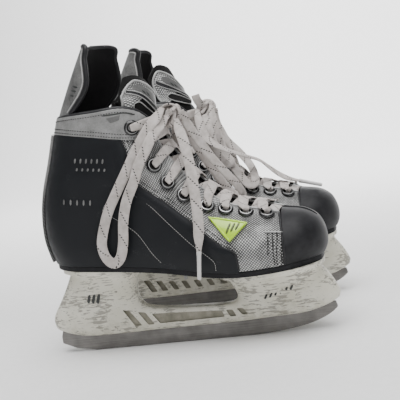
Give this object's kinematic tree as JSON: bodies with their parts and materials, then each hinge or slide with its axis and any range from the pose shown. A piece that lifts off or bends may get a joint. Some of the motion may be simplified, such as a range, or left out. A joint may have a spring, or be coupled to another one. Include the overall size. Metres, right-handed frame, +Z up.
{
  "type": "ice hockey skates",
  "caption": "Pair of junior ice hockey skates, laced and tied, with silver and black boots, white blade holders and steel runners, standing on their blades.",
  "frame": {"origin": "on the floor, under the middle of the pair's outline, halfway between the two skates", "axes": "+X towards the toes, +Y towards the left skate's side, +Z up"},
  "size_m": [0.2337, 0.2146, 0.2433],
  "materials": {
    "outsole_black": "matte moulded",
    "insole_board": "matte fibre board",
    "silver_mesh": "woven mesh over a stiff shell",
    "black_leather": "smooth, satin",
    "backstay_grey": "fine dark and light weave, satin",
    "toe_cap_black": "matte moulded",
    "collar_silver": "smooth, satin",
    "guard_silver": "smooth, satin, black felt inside",
    "tongue_felt": "felt",
    "tongue_face": "smooth, satin, black felt behind",
    "lining_black": "brushed lining",
    "eyelet_metal": "gloss black",
    "badge_lime": "gloss",
    "holder_white": "satin moulded, scuffed",
    "runner_steel": "brushed",
    "lace_fabric": "flat woven",
    "aglet_plastic": "clear gloss"
  },
  "bodies": {
    "skates": {"right_outsole": "outsole_black", "right_insole_board": "insole_board", "right_quarter_shell": "silver_mesh", "right_rear_panel": "black_leather", "right_backstay": "backstay_grey", "right_toe_cap": "toe_cap_black", "right_collar_band": "collar_silver", "right_liner": "lining_black", "right_tongue_lower": "tongue_felt", "right_badge": "badge_lime", "right_eyelets_outer": "eyelet_metal", "right_eyelets_inner": "eyelet_metal", "right_blade_holder": "holder_white", "right_runner": "runner_steel", "right_lace": "lace_fabric", "right_lace_knot": "lace_fabric", "right_lace_loop_outer": "lace_fabric", "right_lace_loop_inner": "lace_fabric", "right_lace_end_outer": "lace_fabric", "right_lace_end_inner": "lace_fabric", "right_aglet_outer": "aglet_plastic", "right_aglet_inner": "aglet_plastic", "left_outsole": "outsole_black", "left_insole_board": "insole_board", "left_quarter_shell": "silver_mesh", "left_rear_panel": "black_leather", "left_backstay": "backstay_grey", "left_toe_cap": "toe_cap_black", "left_collar_band": "collar_silver", "left_liner": "lining_black", "left_tongue_lower": "tongue_felt", "left_badge": "badge_lime", "left_eyelets_outer": "eyelet_metal", "left_eyelets_inner": "eyelet_metal", "left_blade_holder": "holder_white", "left_runner": "runner_steel", "left_lace": "lace_fabric", "left_lace_knot": "lace_fabric", "left_lace_loop_outer": "lace_fabric", "left_lace_loop_inner": "lace_fabric", "left_lace_end_outer": "lace_fabric", "left_lace_end_inner": "lace_fabric", "left_aglet_outer": "aglet_plastic", "left_aglet_inner": "aglet_plastic"},
    "right_tongue_top": {"right_tongue_upper": "tongue_face"},
    "right_guard": {"right_tendon_guard": "guard_silver"},
    "left_tongue_top": {"left_tongue_upper": "tongue_face"},
    "left_guard": {"left_tendon_guard": "guard_silver"}
  },
  "joints": [
    {"name": "right_tongue_fold", "type": "hinge", "parent": "skates", "child": "right_tongue_top", "pos_m": [-0.0007, -0.06, 0.19], "axis": [0, 1, 0], "range_deg": [0, 25], "stiffness_Nm_per_rad": 0.08},
    {"name": "right_guard_flex", "type": "hinge", "parent": "skates", "child": "right_guard", "pos_m": [-0.0805, -0.06, 0.192], "axis": [0, 1, 0], "range_deg": [-20, 0], "stiffness_Nm_per_rad": 0.4},
    {"name": "left_tongue_fold", "type": "hinge", "parent": "skates", "child": "left_tongue_top", "pos_m": [-0.0022, 0.06, 0.19], "axis": [0, 1, 0], "range_deg": [0, 25], "stiffness_Nm_per_rad": 0.08},
    {"name": "left_guard_flex", "type": "hinge", "parent": "skates", "child": "left_guard", "pos_m": [-0.0805, 0.06, 0.192], "axis": [0, 1, 0], "range_deg": [-20, 0], "stiffness_Nm_per_rad": 0.4}
  ]
}
